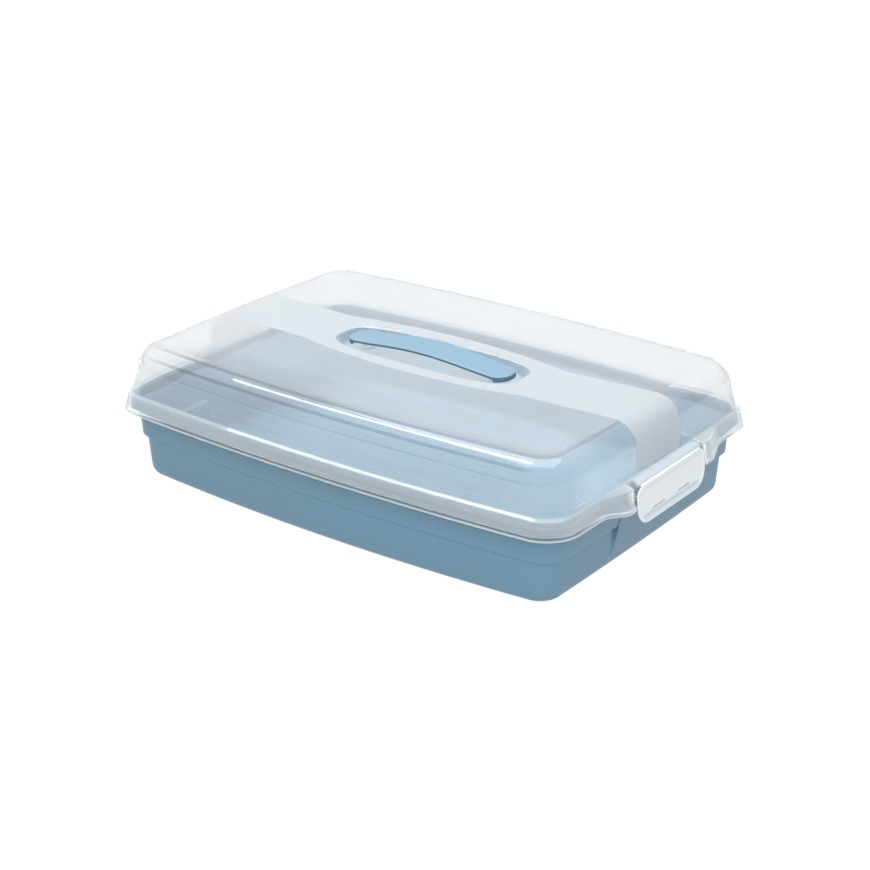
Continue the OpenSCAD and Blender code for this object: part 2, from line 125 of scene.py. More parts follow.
# Stations up a short end. The close ones follow the sides of the lug and of the notch
END_STATIONS = (
    [0, 7, 14, 21, 28, 34, 39, 41.5]
    + [LUG_HALF + SIDE_SLOPE * k / 5 for k in range(6)]
    + [47.4]
    + [NOTCH_FROM + (NOTCH_TO - NOTCH_FROM) * k / 5 for k in range(6)]
    + [54]
    + [EAR_FULL + (EAR_START - EAR_FULL) * k / 12 for k in range(13)]
)
END_RUN, CORNER_RUN, SIDE_RUN = 6, 14, 26
RECESS_SHARES = (0.2, 0.36)  # where the corner part of a ring starts and ends on the recess
RECESS_STEPS = 400


def ring(
    end, side, corner, z, ear=0.0, notch=0.0, lug=0.0, lip_drop=0.0, lug_down=0.0, bow=END_BOW
):
    """A level outline: its insets, corner and height, then what its short ends do."""
    corner = max(corner, LEAST_CORNER)
    return (end, side, corner, z, ear, notch, lug, lip_drop, lug_down, bow)


def quarter(hx, hy, r):
    """A quarter of a rounded rectangle, from the middle of an end to that of a side."""
    low = END_STATIONS[-1]
    points = [(hx, y) for y in END_STATIONS]
    points += [(hx, low + (hy - r - low) * k / END_RUN) for k in range(1, END_RUN)]
    for k in range(CORNER_RUN + 1):
        a = pi / 2 * k / CORNER_RUN
        points.append((hx - r + r * cos(a), hy - r + r * sin(a)))
    points += [((hx - r) * (1 - k / SIDE_RUN), hy) for k in range(1, SIDE_RUN + 1)]
    return points


QUARTER = len(quarter(HALF_LENGTH, HALF_WIDTH, RIM_CORNER))
CORNER_FROM = len(END_STATIONS) + END_RUN - 1


def all_round(q):
    """A whole ring from its quarter."""
    return (
        q
        + [(-x, y, z) for x, y, z in q[-2::-1]]
        + [(-x, -y, z) for x, y, z in q[1:]]
        + [(x, -y, z) for x, y, z in q[-2:0:-1]]
    )


def rim_points(g):
    end, side, r, z, ear, notch, lug, lip_drop, lug_down, bow = g
    hx, hy = HALF_LENGTH - end, HALF_WIDTH - side
    points = []
    for x, y in quarter(hx, hy, r):
        move = bow * (1 - (y / hy) ** 2) + ear * ear_share(y) - notch * notch_share(y)
        move += lug * lug_share(y)
        points.append(
            (
                x + share((x - hx + r) / r) * move,
                y + share((y - hy + r) / r) * SIDE_BOW * (1 - (x / hx) ** 2),
                z - lip_drop * (ear_share(y) - notch_share(y)) - lug_down * lug_share(y),
            )
        )
    return all_round(points)


def recess_points(inset, z):
    """A ring round the handle's recess, a full oval, spaced to meet the rim's rings."""
    a, b, n = RECESS_HALF_LENGTH - inset, RECESS_HALF_WIDTH - inset, 2 / RECESS_FULLNESS
    angles = [pi / 2 * k / RECESS_STEPS for k in range(RECESS_STEPS + 1)]
    fine = [(a * cos(angle) ** n, b * sin(angle) ** n) for angle in angles]
    run = [0.0]
    for (x0, y0), (x1, y1) in zip(fine, fine[1:]):
        run.append(run[-1] + hypot(x1 - x0, y1 - y0))
    low, high = RECESS_SHARES
    points, at = [], 0
    for i in range(QUARTER):
        if i < CORNER_FROM:
            want = low * i / CORNER_FROM
        elif i <= CORNER_FROM + CORNER_RUN:
            want = low + (high - low) * (i - CORNER_FROM) / CORNER_RUN
        else:
            want = high + (1 - high) * (i - CORNER_FROM - CORNER_RUN) / SIDE_RUN
        want *= run[-1]
        while at < RECESS_STEPS - 1 and run[at + 1] < want:
            at += 1
        t = (want - run[at]) / (run[at + 1] - run[at])
        x, y = between(fine[at], fine[at + 1], t)
        points.append((x, y, z))
    points[-1] = (0.0, b, z)
    return all_round(points)


# Meshes ----------------------------------------------------------------------------------
def loop_edges(bm, verts):
    return [bm.edges.get((a, b)) for a, b in zip(verts, verts[1:] + verts[:1])]


def lofted(bm, rings, material_at=None):
    """Extrudes one ring from the next along a list of rings, and caps the two ends."""
    verts = bmesh.ops.create_circle(bm, segments=len(rings[0]), radius=1.0)["verts"]
    verts = sorted(verts, key=lambda v: atan2(v.co.y, v.co.x) % (2 * pi))
    first = verts
    for k, points in enumerate(rings):
        if k:
            made = bmesh.ops.extrude_edge_only(bm, edges=loop_edges(bm, verts))["geom"]
            new = {v for v in made if isinstance(v, bmesh.types.BMVert)}
            verts = [
                next(e.other_vert(v) for e in v.link_edges if e.other_vert(v) in new) for v in verts
            ]
            for f in made:
                if isinstance(f, bmesh.types.BMFace):
                    f.material_index = material_at(k) if material_at else 0
        for v, p in zip(verts, points):
            v.co = Vector(p) * MM
    for ends, k in ((first, 0), (verts, len(rings))):
        face = bmesh.ops.contextual_create(bm, geom=loop_edges(bm, ends))["faces"][0]
        face.material_index = material_at(k) if material_at else 0


def finished(name, bm, finishes, body, stands_for, casts=True):
    """Makes an object of a mesh, with smooth faces that point outwards.

    casts says whether the piece throws the lamps' shadows on what is under it.
    """
    bmesh.ops.recalc_face_normals(bm, faces=bm.faces[:])
    for f in bm.faces:
        f.smooth = True
    mesh = bpy.data.meshes.new(name)
    bm.to_mesh(mesh)
    bm.free()
    for finish in finishes:
        mesh.materials.append(finish)
    piece = bpy.data.objects.new(name, mesh)
    bpy.context.scene.collection.objects.link(piece)
    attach(piece, body)
    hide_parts(*stands_for)
    piece.visible_shadow = casts
    return piece


# Shader maths ----------------------------------------------------------------------------
class Level:
    """A number that varies over a surface. Sums and products of it add Math nodes."""

    def __init__(self, finish, socket):
        self.finish, self.socket = finish, socket

    def maths(self, operation, *values):
        node = self.finish.node("ShaderNodeMath", {"operation": operation}, dict(enumerate(values)))
        return Level(self.finish, node.outputs[0])

    def __add__(self, other):
        return self.maths("ADD", self, other)

    def __radd__(self, other):
        return self.maths("ADD", other, self)

    def __sub__(self, other):
        return self.maths("SUBTRACT", self, other)

    def __rsub__(self, other):
        return self.maths("SUBTRACT", other, self)

    def __mul__(self, other):
        return self.maths("MULTIPLY", self, other)

    def __rmul__(self, other):
        return self.maths("MULTIPLY", other, self)

    def __truediv__(self, other):
        return self.maths("DIVIDE", self, other)

    def __rtruediv__(self, other):
        return self.maths("DIVIDE", other, self)

    def __pow__(self, other):
        return self.maths("POWER", self, other)

    def __rpow__(self, other):
        return self.maths("POWER", other, self)

    def __abs__(self):
        return self.maths("ABSOLUTE", self)

    def most(self, other, soft=0.0):
        return self.maths("SMOOTH_MAX" if soft else "MAXIMUM", self, other, soft)

    def least(self, other):
        return self.maths("MINIMUM", self, other)

    def held(self):
        return self.most(0.0).least(1.0)

    def past(self, start, width):
        """Rises from 0 to 1 over a width that begins at start."""
        return ((self - start) / width).held()

    def short_of(self, end, width):
        """Falls from 1 to 0 over a width that stops at end."""
        return ((end - self) / width).held()

    def within(self, low, high, soft):
        return self.past(low, soft) * self.short_of(high, soft)


class Finish:
    """One material and its nodes."""

    def __init__(self, name):
        self.material = bpy.data.materials.new(name)
        self.material.use_nodes = True
        self.tree = self.material.node_tree
        self.tree.nodes.clear()
        self.output = self.tree.nodes.new("ShaderNodeOutputMaterial")
        place = self.node("ShaderNodeTexCoord").outputs["Object"]
        self.place = place
        split = self.node("ShaderNodeSeparateXYZ", sockets={0: place}).outputs
        self.x, self.y, self.z = (Level(self, s) for s in split)

    def node(self, kind, settings=None, sockets=None):
        made = self.tree.nodes.new(kind)
        for name, value in (settings or {}).items():
            setattr(made, name, value)
        for name, value in (sockets or {}).items():
            self.feed(made.inputs[name], value)
        return made

    def feed(self, socket, value):
        if isinstance(value, Level):
            value = value.socket
        if isinstance(value, bpy.types.NodeSocket):
            self.tree.links.new(value, socket)
        elif value is not None:
            opaque = isinstance(value, tuple) and socket.type == "RGBA"
            socket.default_value = (*value, 1.0) if opaque else value

    def noise(self, scale, detail=2.0, stretch=(1.0, 1.0, 1.0)):
        """Noise on the object's own coordinates, with scale as cells to the metre."""
        at = self.node("ShaderNodeMapping", sockets={"Vector": self.place, "Scale": stretch})
        sockets = {"Vector": at.outputs[0], "Scale": scale, "Detail": detail}
        return Level(self, self.node("ShaderNodeTexNoise", sockets=sockets).outputs["Fac"])

    def mixed(self, factor, a, b):
        made = self.node("ShaderNodeMix", {"data_type": "RGBA"}, {0: factor, 6: a, 7: b})
        return made.outputs[2]

    def bumped(self, height, distance):
        made = self.node("ShaderNodeBump", sockets={"Height": height, "Distance": distance})
        return made.outputs[0]

    def turned_away(self, normal=None):
        """0 where the surface faces the eye, 1 where it is seen edge on, alike from both sides."""
        made = self.node("ShaderNodeLayerWeight", sockets={"Blend": 0.5, "Normal": normal})
        return Level(self, made.outputs["Facing"])

    def blended(self, factor, a, b):
        return self.node("ShaderNodeMixShader", sockets={0: factor, 1: a, 2: b}).outputs[0]

    def cloudy(self, colour):
        """Haze that throws half of the light back and lets the other half on."""
        back = self.node("ShaderNodeBsdfDiffuse", sockets={"Color": colour}).outputs[0]
        on = self.node("ShaderNodeBsdfTranslucent", sockets={"Color": colour}).outputs[0]
        return self.blended(0.5, back, on)

    def let_lamps_through(self, shader, tint, much):
        """Lets a share of the lamps' light pass straight through, so that what is inside is lit."""
        lamps = self.node("ShaderNodeLightPath").outputs["Is Shadow Ray"]
        clear = self.node("ShaderNodeBsdfTransparent", sockets={0: tint}).outputs[0]
        return self.blended(Level(self, lamps) * much, shader, clear)

    def done(self, shader):
        self.tree.links.new(shader, self.output.inputs["Surface"])
        return self.material


# Materials -------------------------------------------------------------------------------
BLUE_DEEP, BLUE_LIGHT = (0.130, 0.256, 0.358), (0.146, 0.280, 0.386)
# The deep blue that painted shade mixes in, on the tray and on the handle's side
BLUE_SHADED = (0.040, 0.100, 0.155)
GRIP_DEEP, GRIP_LIGHT = (0.180, 0.302, 0.392), (0.195, 0.319, 0.411)
# The tray's inside: a lighter copy of its blue, as painted light
INSIDE_DEEP, INSIDE_LIGHT = (0.222, 0.400, 0.522), (0.241, 0.422, 0.546)
# The clear plastic's tint, and the dark tint of its painted shade lines
CLEAR_TINT, EDGE_SHADE_TINT = (0.943, 0.948, 0.952), (0.16, 0.20, 0.23)
VEIL_COLOUR, FROST_COLOUR = (0.882, 0.870, 0.865), (0.665, 0.685, 0.695)
# The first grey is the painted shade on the lid's front; the second is what the milk turns to where
# it is seen edge on
FRONT_SHADE_COLOUR, EDGE_COLOUR = (0.25, 0.25, 0.25), (0.50, 0.50, 0.50)
# The second colour is the painted shade line above the lid's lip
RIM_COLOUR, LIP_SHADE_COLOUR = (0.930, 0.985, 0.998), (0.10, 0.13, 0.15)
PLATE_DEEP, PLATE_LIGHT = (0.865, 0.915, 0.935), (0.89, 0.94, 0.96)
PLATE_SHADED, EMPTY_TINT = (0.60, 0.69, 0.74), (0.97, 0.985, 0.99)
SADDLE_DEEP, SADDLE_LIGHT = (0.54, 0.59, 0.63), (0.60, 0.65, 0.69)
PLASTIC_IOR = 1.49

# Noises, as cells to the metre, detail and stretch
CLOUDING, MOULD_GRAIN, DIMPLES, GRIP_CLOUDING = (14.0, 3.0), (2600.0, 1.0), (60.0, 1.0), (30.0,)
# The second noise here makes the painted reflection streaks on the lid
FLOW, REFLECTION_STREAKS = (55.0, 1.5, (0.07, 0.07, 1.0)), (300.0, 1.0, (0.012, 0.012, 1.0))
FROST_GRAIN, MILK_CLOUDING, MILK_GRAIN = (3200.0, 2.0), (40.0, 2.0), (2800.0, 1.0)
GRAIN_BUMP, CLEAR_BUMP = 0.00002, 0.0001

# Painted shade on the tray: its colour deepens up from a height, under the lid's lip, and beside
# the lugs
UNDER_LIP_FROM, UNDER_LIP_RISE, UNDER_LIP_SHADE = 36, 22, 0.36
LUG_SIDE_Y, LUG_SIDE_REACH, LUG_SIDE_X = 44.5, 2.1, 190
LUG_SIDE_FROM, LUG_SIDE_RISE, LUG_SIDE_SHADE = 12, 20, 0.95

# Painted shade lines on the lid's rounded edge, for the shade that it shows: low and high ends,
# and strength. The groove is a painted shade line above its lip, and the last two edge lines stop
# before the near corner
EDGE_SHADE_LINES, EDGE_SHADE_SOFT = ((107.5, 108.75, 1.0), (100.9, 103.3, 0.75), (93.4, 95.0, 0.4)), 0.5
LIP_SHADE_LOW, LIP_SHADE_HIGH, LIP_SHADE_SOFT, LIP_SHADE_SHARE = 59.3, 61.0, 0.4, 0.8
CORNER_STOP, CORNER_FADE = 182, 12

# The part of the lid that the painted shade, the painted reflection streaks and the painted shade
# lines keep to: its front, and the near right end
FRONT_Y, FRONT_FADE, LEFT_X, LEFT_FADE = -85, 30, -190, 50
NEAR_END_X, NEAR_END_FADE, NEAR_END_Y, NEAR_END_Y_FADE = 165, 30, 20, 60

# How milky the lid is all over, and what its zones add to that, with the front's painted shade
# and the painted reflection streaks
VEIL, FLOW_VEIL, REFLECTION_STREAK_VEIL, FRONT_SHADE_VEIL, RIM_VEIL = 0.118, 0.03, 0.20, 0.07, 0.17
BAND_VEIL, BAND_GRAIN_VEIL, RECESS_VEIL, RECESS_FLOOR_VEIL = 0.40, 0.05, 0.12, 0.24
CLEAR_ROUGHNESS, FLOW_ROUGHNESS = 0.006, 0.008
BAND_ROUGHNESS, BAND_GRAIN_ROUGHNESS, BAND_GRAIN_HEIGHT, BAND_HIDES = 0.42, 0.08, 0.8, 0.8
LEAST_FACING, FACING_POWER, EDGE_FROM, EDGE_SHARE = 0.12, -0.85, 0.75, 0.5
FRONT_SHADE_SHARE, INNER_GLINT, LAMPS_THROUGH = 0.345, 0.2, 0.70


def satin_blue(name, deep=BLUE_DEEP, light=BLUE_LIGHT, shade=None):
    """Moulded opaque plastic: a fine grain, faint clouding of the colour and of the gloss."""
    f = Finish(name)
    cloud, grain = f.noise(*CLOUDING), f.noise(*MOULD_GRAIN)
    colour = f.mixed((cloud * 0.8 + grain * 0.2).held(), deep, light)
    if shade:
        colour = f.mixed(shade(f), colour, BLUE_SHADED)
    body = f.node(
        "ShaderNodeBsdfPrincipled",
        sockets={
            "Base Color": colour,
            "Roughness": 0.34 + cloud * 0.10 + grain * 0.06,
            "Normal": f.bumped(grain + f.noise(*DIMPLES) * 3.0, GRAIN_BUMP),
            "IOR": PLASTIC_IOR,
        },
    )
    return f.done(body.outputs[0])


def tray_painted_shade(f):
    """Painted shade: deeper under the lip and on the narrow sides of the lugs."""
    under = f.z.past(UNDER_LIP_FROM * MM, UNDER_LIP_RISE * MM)
    beside = abs(abs(f.y) - LUG_SIDE_Y * MM).short_of(LUG_SIDE_REACH * MM, 0.5 * MM)
    beside = beside * abs(f.x).past(LUG_SIDE_X * MM, 2 * MM)
    beside = beside * f.z.past(LUG_SIDE_FROM * MM, LUG_SIDE_RISE * MM)
    return (under * UNDER_LIP_SHADE + beside * LUG_SIDE_SHADE).held()


def grip_side_painted_shade(f):
    """Painted shade on the handle's side: deeper all round, a little unevenly."""
    return f.noise(*GRIP_CLOUDING) * 0.1 + 0.58


def band_reach(f):
    """Half the width of the frosted band: bowed in the middle, straight towards its ends."""
    x = abs(f.x)
    bowed = BAND_HALF * MM - x * x / (2 * BAND_RADIUS * MM)
    return bowed.most(BAND_END_HALF * MM, 1.5 * MM)


def see_through(name, banded):
    """Clear plastic with a milky veil, thicker where it is seen edge on.

    The outside is banded: it also has the frosted band, the misty recess and the painted shade
    lines.
    Inside and outside alike carry the front's painted shade and the painted reflection streaks.
    """
    f = Finish(name)
    flow, painted_streak = f.noise(*FLOW), f.noise(*REFLECTION_STREAKS) - 0.5
    front = f.y.short_of(FRONT_Y * MM, FRONT_FADE * MM) * f.x.past(LEFT_X * MM, LEFT_FADE * MM)
    near_end = f.x.past(NEAR_END_X * MM, NEAR_END_FADE * MM)
    near = front.most(near_end * f.y.short_of(NEAR_END_Y * MM, NEAR_END_Y_FADE * MM))
    rim = f.z.short_of((SHOULDER_TOP + 1.8) * MM, 1.0 * MM)
    # Painted shade on the lid's front, for the shade on what is seen through it
    front_painted_shade = front * (1.0 - rim)
    # The streaks are painted reflection streaks on the front and near end
    veil = VEIL + flow * FLOW_VEIL + painted_streak * near * REFLECTION_STREAK_VEIL + front_painted_shade * FRONT_SHADE_VEIL
    roughness = CLEAR_ROUGHNESS + flow * FLOW_ROUGHNESS
    height, tint, glint = flow, CLEAR_TINT, INNER_GLINT
    milk = f.blended(front_painted_shade * FRONT_SHADE_SHARE, f.cloudy(VEIL_COLOUR), f.cloudy(FRONT_SHADE_COLOUR))
    milk = f.blended(rim, milk, f.cloudy(RIM_COLOUR))
    if banded:
        glint = 1.0
        over = f.z.past((SHOULDER_TOP + 1.6) * MM, 0.6 * MM)
        oval = (abs(f.x) / (RECESS_HALF_LENGTH * MM)) ** RECESS_FULLNESS
        oval = oval + (abs(f.y) / (RECESS_HALF_WIDTH * MM)) ** RECESS_FULLNESS
        band = abs(f.y).short_of(band_reach(f), 0.6 * MM) * over * oval.past(1.0, 0.02)
        recess = oval.short_of(1.0, 0.05) * over
        low = f.z.short_of((RECESS_FLOOR + 3.0) * MM, 2.0 * MM) * oval.short_of(0.9, 0.2) * over
        grain = f.noise(*FROST_GRAIN)
        veil = veil + band * (BAND_VEIL + grain * BAND_GRAIN_VEIL)
        veil = veil + recess * RECESS_VEIL + low * RECESS_FLOOR_VEIL + rim * RIM_VEIL
        roughness = roughness + band * (BAND_ROUGHNESS + grain * BAND_GRAIN_ROUGHNESS)
        height = height + band * grain * BAND_GRAIN_HEIGHT
        # The groove is a painted shade line above the lip, for the shaded gap under it
        groove = f.z.within(LIP_SHADE_LOW * MM, LIP_SHADE_HIGH * MM, LIP_SHADE_SOFT * MM) * front
        # Painted shade lines along the rounded edge
        top, middle, bottom = (
            f.z.within(start * MM, end * MM, EDGE_SHADE_SOFT * MM) * much for start, end, much in EDGE_SHADE_LINES
        )
        stop = f.x.short_of(CORNER_STOP * MM, CORNER_FADE * MM)
        lines = top + (middle + bottom) * stop + groove
        lines = lines * near * (1.0 - band * BAND_HIDES)
        tint = f.mixed(lines.held(), CLEAR_TINT, EDGE_SHADE_TINT)
        milk = f.blended(band.most(recess), milk, f.cloudy(FROST_COLOUR))
        milk = f.blended(groove * LIP_SHADE_SHARE, milk, f.cloudy(LIP_SHADE_COLOUR))
    normal = f.bumped(height, CLEAR_BUMP)
    away = f.turned_away(normal)
    edge_on = away.past(EDGE_FROM, 1.0 - EDGE_FROM) * EDGE_SHARE
    milk = f.blended(edge_on, milk, f.cloudy(EDGE_COLOUR))
    seen = 1.0 - (1.0 - veil) ** ((1.0 - away).most(LEAST_FACING) ** FACING_POWER)
    glass = f.node(
        "ShaderNodeBsdfPrincipled",
        sockets={
            "Base Color": tint,
            "Roughness": roughness,
            "Normal": normal,
            "IOR": PLASTIC_IOR,
            "Transmission Weight": 1.0,
            "Specular Tint": (glint, glint, glint),
        },
    ).outputs[0]
    return f.done(f.let_lamps_through(f.blended(seen, glass, milk), CLEAR_TINT, LAMPS_THROUGH))


def milky(name, deep, light, clear, groove_shaded=False):
    """Translucent white plastic, thicker and whiter where it is seen edge on."""
    f = Finish(name)
    cloud, grain = f.noise(*MILK_CLOUDING), f.noise(*MILK_GRAIN)
    seen = 1.0 - (clear - cloud * 0.04) ** (1.0 / (1.0 - f.turned_away()).most(0.15))
    colour = f.mixed(cloud, deep, light)
    if groove_shaded:
        # Painted shade in the flap's finger groove
        groove = abs(f.z - FINGER_Z * MM).short_of(3.0 * MM, 1.5 * MM)
        groove = groove * abs(f.y).short_of(42 * MM, 5 * MM)
        colour = f.mixed(groove * 0.7, colour, PLATE_SHADED)
    empty = f.node("ShaderNodeBsdfTransparent", sockets={0: EMPTY_TINT}).outputs[0]
    body = f.node(
        "ShaderNodeBsdfPrincipled",
        sockets={
            "Base Color": colour,
            "Roughness": 0.30 + grain * 0.08 + cloud * 0.06,
            "Normal": f.bumped(grain, GRAIN_BUMP),
            "IOR": PLASTIC_IOR,
        },
    ).outputs[0]
    through = f.node("ShaderNodeBsdfTranslucent", sockets={"Color": light}).outputs[0]
    return f.done(f.blended(seen, empty, f.blended(0.12, body, through)))


# Tray ------------------------------------------------------------------------------------
def band_at(z):
    """How far the tray's upper band stands in from the rim."""
    return BAND_INSET - BAND_DRAFT * (z - STEP_HEIGHT) / (TRAY_HEIGHT - STEP_HEIGHT)


def low_at(z):
    """What the draft adds to that below the step."""
    return LOW_DRAFT * (1 - z / STEP_HEIGHT)


def slope_at(z):
    """How far a lug stands out of the low wall, growing upwards from its foot."""
    return STEP_END * (min(z, STEP_HEIGHT) - EAR_FOOT) / (STEP_HEIGHT - EAR_FOOT)


def band_ring(extra, z, corner):
    lug = slope_at(z) - STEP_END + min(extra, STEP_ROUND) if z < STEP_HEIGHT else 0.0
    rise = share((z - STEP_HEIGHT) / (FLANGE_BOTTOM - STEP_HEIGHT))
    inset = band_at(z) + extra
    return ring(inset, inset, corner, z, ear=TRAY_EAR * rise, lug=lug)


def low_ring(extra, z, corner):
    inset = BAND_INSET + low_at(z) + extra
    return ring(inset + STEP_END, inset + STEP_SIDE, corner, z, lug=max(0.0, slope_at(z)))


def flange_ring(inset, z, down=0.0):
    return ring(inset, inset, RIM_CORNER - inset, z, ear=NOTCH_LEFT, lug_down=down)


def base_curve(wall, z0, steps=10):
    r = BASE_ROUND - wall
    rings = []
    for k in range(steps + 1):
        a = pi / 2 * k / steps
        out = r * (1 - sin(a))
        rings.append(low_ring(wall + out, z0 + r * (1 - cos(a)), BAND_CORNER - wall - 0.8 * out))
    return rings


def make_tray():
    inner = BAND_CORNER - TRAY_WALL
    fold = FLANGE_LOW_INSET + TRAY_WALL
    profile = (
        [(g, 0) for g in base_curve(0.0, 0.0)]
        + [(low_ring(0, z, BAND_CORNER), 0) for z in (14, 20, 26, 31)]
        + [
            (low_ring(0, STEP_HEIGHT - 2 * STEP_ROUND, BAND_CORNER), 0.5),
            (band_ring(STEP_ROUND, STEP_HEIGHT - STEP_ROUND, BAND_CORNER), 0.4),
            (band_ring(0, STEP_HEIGHT, BAND_CORNER), 0.4),
            (band_ring(0, 44, BAND_CORNER), 0),
            (band_ring(0, 52, BAND_CORNER), 0),
            (band_ring(0, FLANGE_BOTTOM, BAND_CORNER), 0),
            (band_ring(0, FOLD_HEIGHT, BAND_CORNER), 0.4),
            (flange_ring(fold, FOLD_HEIGHT), 0.4),
            (flange_ring(fold, FLANGE_BOTTOM, LUG_DROP), 0.4),
            (flange_ring(FLANGE_LOW_INSET, FLANGE_BOTTOM, LUG_DROP), 0.5),
            (flange_ring(FLANGE_TOP_INSET, TRAY_HEIGHT), 1.6),
            (band_ring(TRAY_WALL, TRAY_HEIGHT, inner), 1.6),
            (band_ring(TRAY_WALL, INSIDE_TOP, inner), 0),
            (band_ring(TRAY_WALL, 50, inner), 0),
            (band_ring(TRAY_WALL, 42, inner), 0),
            (band_ring(TRAY_WALL, STEP_HEIGHT + STEP_ROUND, inner), 0.6),
            (low_ring(TRAY_WALL, STEP_HEIGHT - STEP_ROUND, inner), 0.6),
        ]
        + [(low_ring(TRAY_WALL, z, inner), 0) for z in (26, 18)]
        + [(g, 0) for g in reversed(base_curve(TRAY_WALL, FLOOR_THICK))]
    )
    rings = softened(profile, sight=(1, 3))
    turn = rings.index(band_ring(TRAY_WALL, INSIDE_TOP, inner))
    bm = bmesh.new()
    lofted(bm, [rim_points(g) for g in rings], material_at=lambda k: int(k > turn))
    finishes = [
        # the outside, with painted shade under the lip and beside the lugs
        satin_blue("satin_blue_tray", shade=tray_painted_shade),
        # the inside: a lighter copy of the same blue, painted light
        satin_blue("satin_blue_inside_painted_light", INSIDE_DEEP, INSIDE_LIGHT),
    ]
    return finished("tray_shell", bm, finishes, "tray", ["tray"])


# Lid -------------------------------------------------------------------------------------
RIM_INSIDE = 22  # how many of the rim's rings lie inside, up to the foot of the lip


def skirt_ring(inset, z, drop=0.0):
    corner, notch = RIM_CORNER - inset, EAR_OUT - NOTCH_LEFT
    return ring(inset, inset, corner, z, ear=EAR_OUT, notch=notch, lip_drop=drop)


def wall_ring(extra, z, rise):
    return ring(
        WALL_INSET + END_DRAFT * rise + extra,
        WALL_INSET + WALL_DRAFT * rise + extra,
        RIM_CORNER - WALL_INSET + (TOP_CORNER - RIM_CORNER + WALL_INSET) * rise - extra,
        z,
        bow=END_BOW + END_SWELL * rise,
    )


def edge_curve(wall, steps=14):
    r = TOP_ROUND - wall
    rings = []
    for k in range(steps + 1):
        a = pi / 2 * k / steps
        rings.append(wall_ring(wall + r * (1 - cos(a)), LID_HEIGHT - TOP_ROUND + r * sin(a), 1.0))
    return rings


def top_between(wall, steps=12):
    """Rings over the dished top, from the rounded edge in to the recess."""
    outer = rim_points(edge_curve(wall)[-1])
    inner = recess_points(-wall, RECESS_TOP - wall)
    return [[between(p, q, k / steps) for p, q in zip(outer, inner)] for k in range(1, steps)]


def recess_side(wall, steps=6):
    """Rings down the recess, from its rounded rim to its floor."""
    path = softened(
        [
            ((-3.5, 0.06), 0),
            ((0.0, 0.0), 1.6),
            ((4.0 - 0.3 * wall, -(RECESS_TOP - RECESS_FLOOR) + 1.2), 2.2),
            ((7.5 - 0.3 * wall, -(RECESS_TOP - RECESS_FLOOR)), 2.0),
            ((13.0, -(RECESS_TOP - RECESS_FLOOR)), 0),
        ],
        steps=steps,
    )
    return [recess_points(inset - wall, RECESS_TOP - wall + down) for inset, down in path]


def make_lid():
    wall = LID_WALL
    inside_rim = softened(
        [
            (edge_curve(wall)[0], 0),
            (wall_ring(wall, SHOULDER_HIGH - 0.7 * wall, 0.0), 0.8),
            (skirt_ring(SKIRT_INSET - 0.25 + wall, SHOULDER_LOW - 0.7 * wall), 0.8),
            (skirt_ring(LIP_PROUD + wall, LIP_BOTTOM, EAR_DROP), 0.4),
            (skirt_ring(0.0, LIP_BOTTOM, EAR_DROP), 0.6),
            (skirt_ring(0.0, LIP_TOP, EAR_DROP), 0.7),
            (skirt_ring(LIP_PROUD - 0.1, LIP_TOP + 0.4, EAR_DROP), 0.4),
            (skirt_ring(SKIRT_INSET - 0.3, SHOULDER_LOW), 0.7),
            (wall_ring(0.0, SHOULDER_HIGH, 0.0), 0.5),
            (edge_curve(0.0)[0], 0),
        ],
        sight=(1, 3),
    )
    inner = (
        list(reversed(recess_side(wall)))
        + list(reversed(top_between(wall)))
        + [rim_points(g) for g in reversed(edge_curve(wall)[1:])]
    )
    outer = [rim_points(g) for g in edge_curve(0.0)[1:]]
    outer += top_between(0.0) + recess_side(0.0)
    rim = [rim_points(g) for g in inside_rim]
    turn = len(inner) + RIM_INSIDE
    bm = bmesh.new()
    lofted(bm, inner + rim + outer, material_at=lambda k: int(k <= turn))
    for side in (-1, 1):
        add_post(bm, side * POST_X)
    finishes = [see_through("clear_outside", True), see_through("clear_inside", False)]
    return finished("lid_shell", bm, finishes, "lid", ["lid"])


def circle_rings(centre_x, profile, segments=40):
    return [
        [
            (centre_x + r * cos(2 * pi * k / segments), r * sin(2 * pi * k / segments), z)
            for k in range(segments)
        ]
        for r, z in profile
    ]


def add_post(bm, centre_x):
    """One of the two moulded posts that carry the handle, with its pin."""
    profile = softened(
        [
            ((0.3, RECESS_FLOOR + 0.02), 0),
            ((POST_RADIUS + 0.2, RECESS_FLOOR + 0.02), 0.1),
            ((POST_RADIUS, RECESS_FLOOR + 0.8), 0.3),
            ((POST_RADIUS, POST_TOP), 0.4),
            ((PIN_RADIUS, POST_TOP), 0.2),
            ((PIN_RADIUS, PIN_TOP), 0.4),
            ((0.3, PIN_TOP), 0),
        ],
        steps=3,
    )
    lofted(bm, circle_rings(centre_x, profile), material_at=lambda k: 1)


# Outlines for the handle and the flaps ---------------------------------------------------
def evenly(path, count):
    """The same closed path with points spaced evenly along it."""
    closed = path + path[:1]
    run = [0.0]
    for a, b in zip(closed, closed[1:]):
        run.append(run[-1] + hypot(b[0] - a[0], b[1] - a[1]))
    points, at = [], 0
    for k in range(count):
        want = run[-1] * k / count
        while run[at + 1] < want:
            at += 1
        t = (want - run[at]) / max(run[at + 1] - run[at], 1e-9)
        points.append(between(closed[at], closed[at + 1], t))
    return points


def drawn_in(path, inset):
    """A closed path moved inwards by inset, along its own normals. The path runs anticlockwise."""
    n = len(path)
    moved = []
    for i, (u, v) in enumerate(path):
        du, dv = (path[(i + 1) % n][s] - path[i - 1][s] for s in (0, 1))
        size = hypot(du, dv)
        moved.append((u - dv / size * inset, v + du / size * inset))
    return moved


def shrunk(path, centre, keep):
    return [between(centre, p, keep) for p in path]


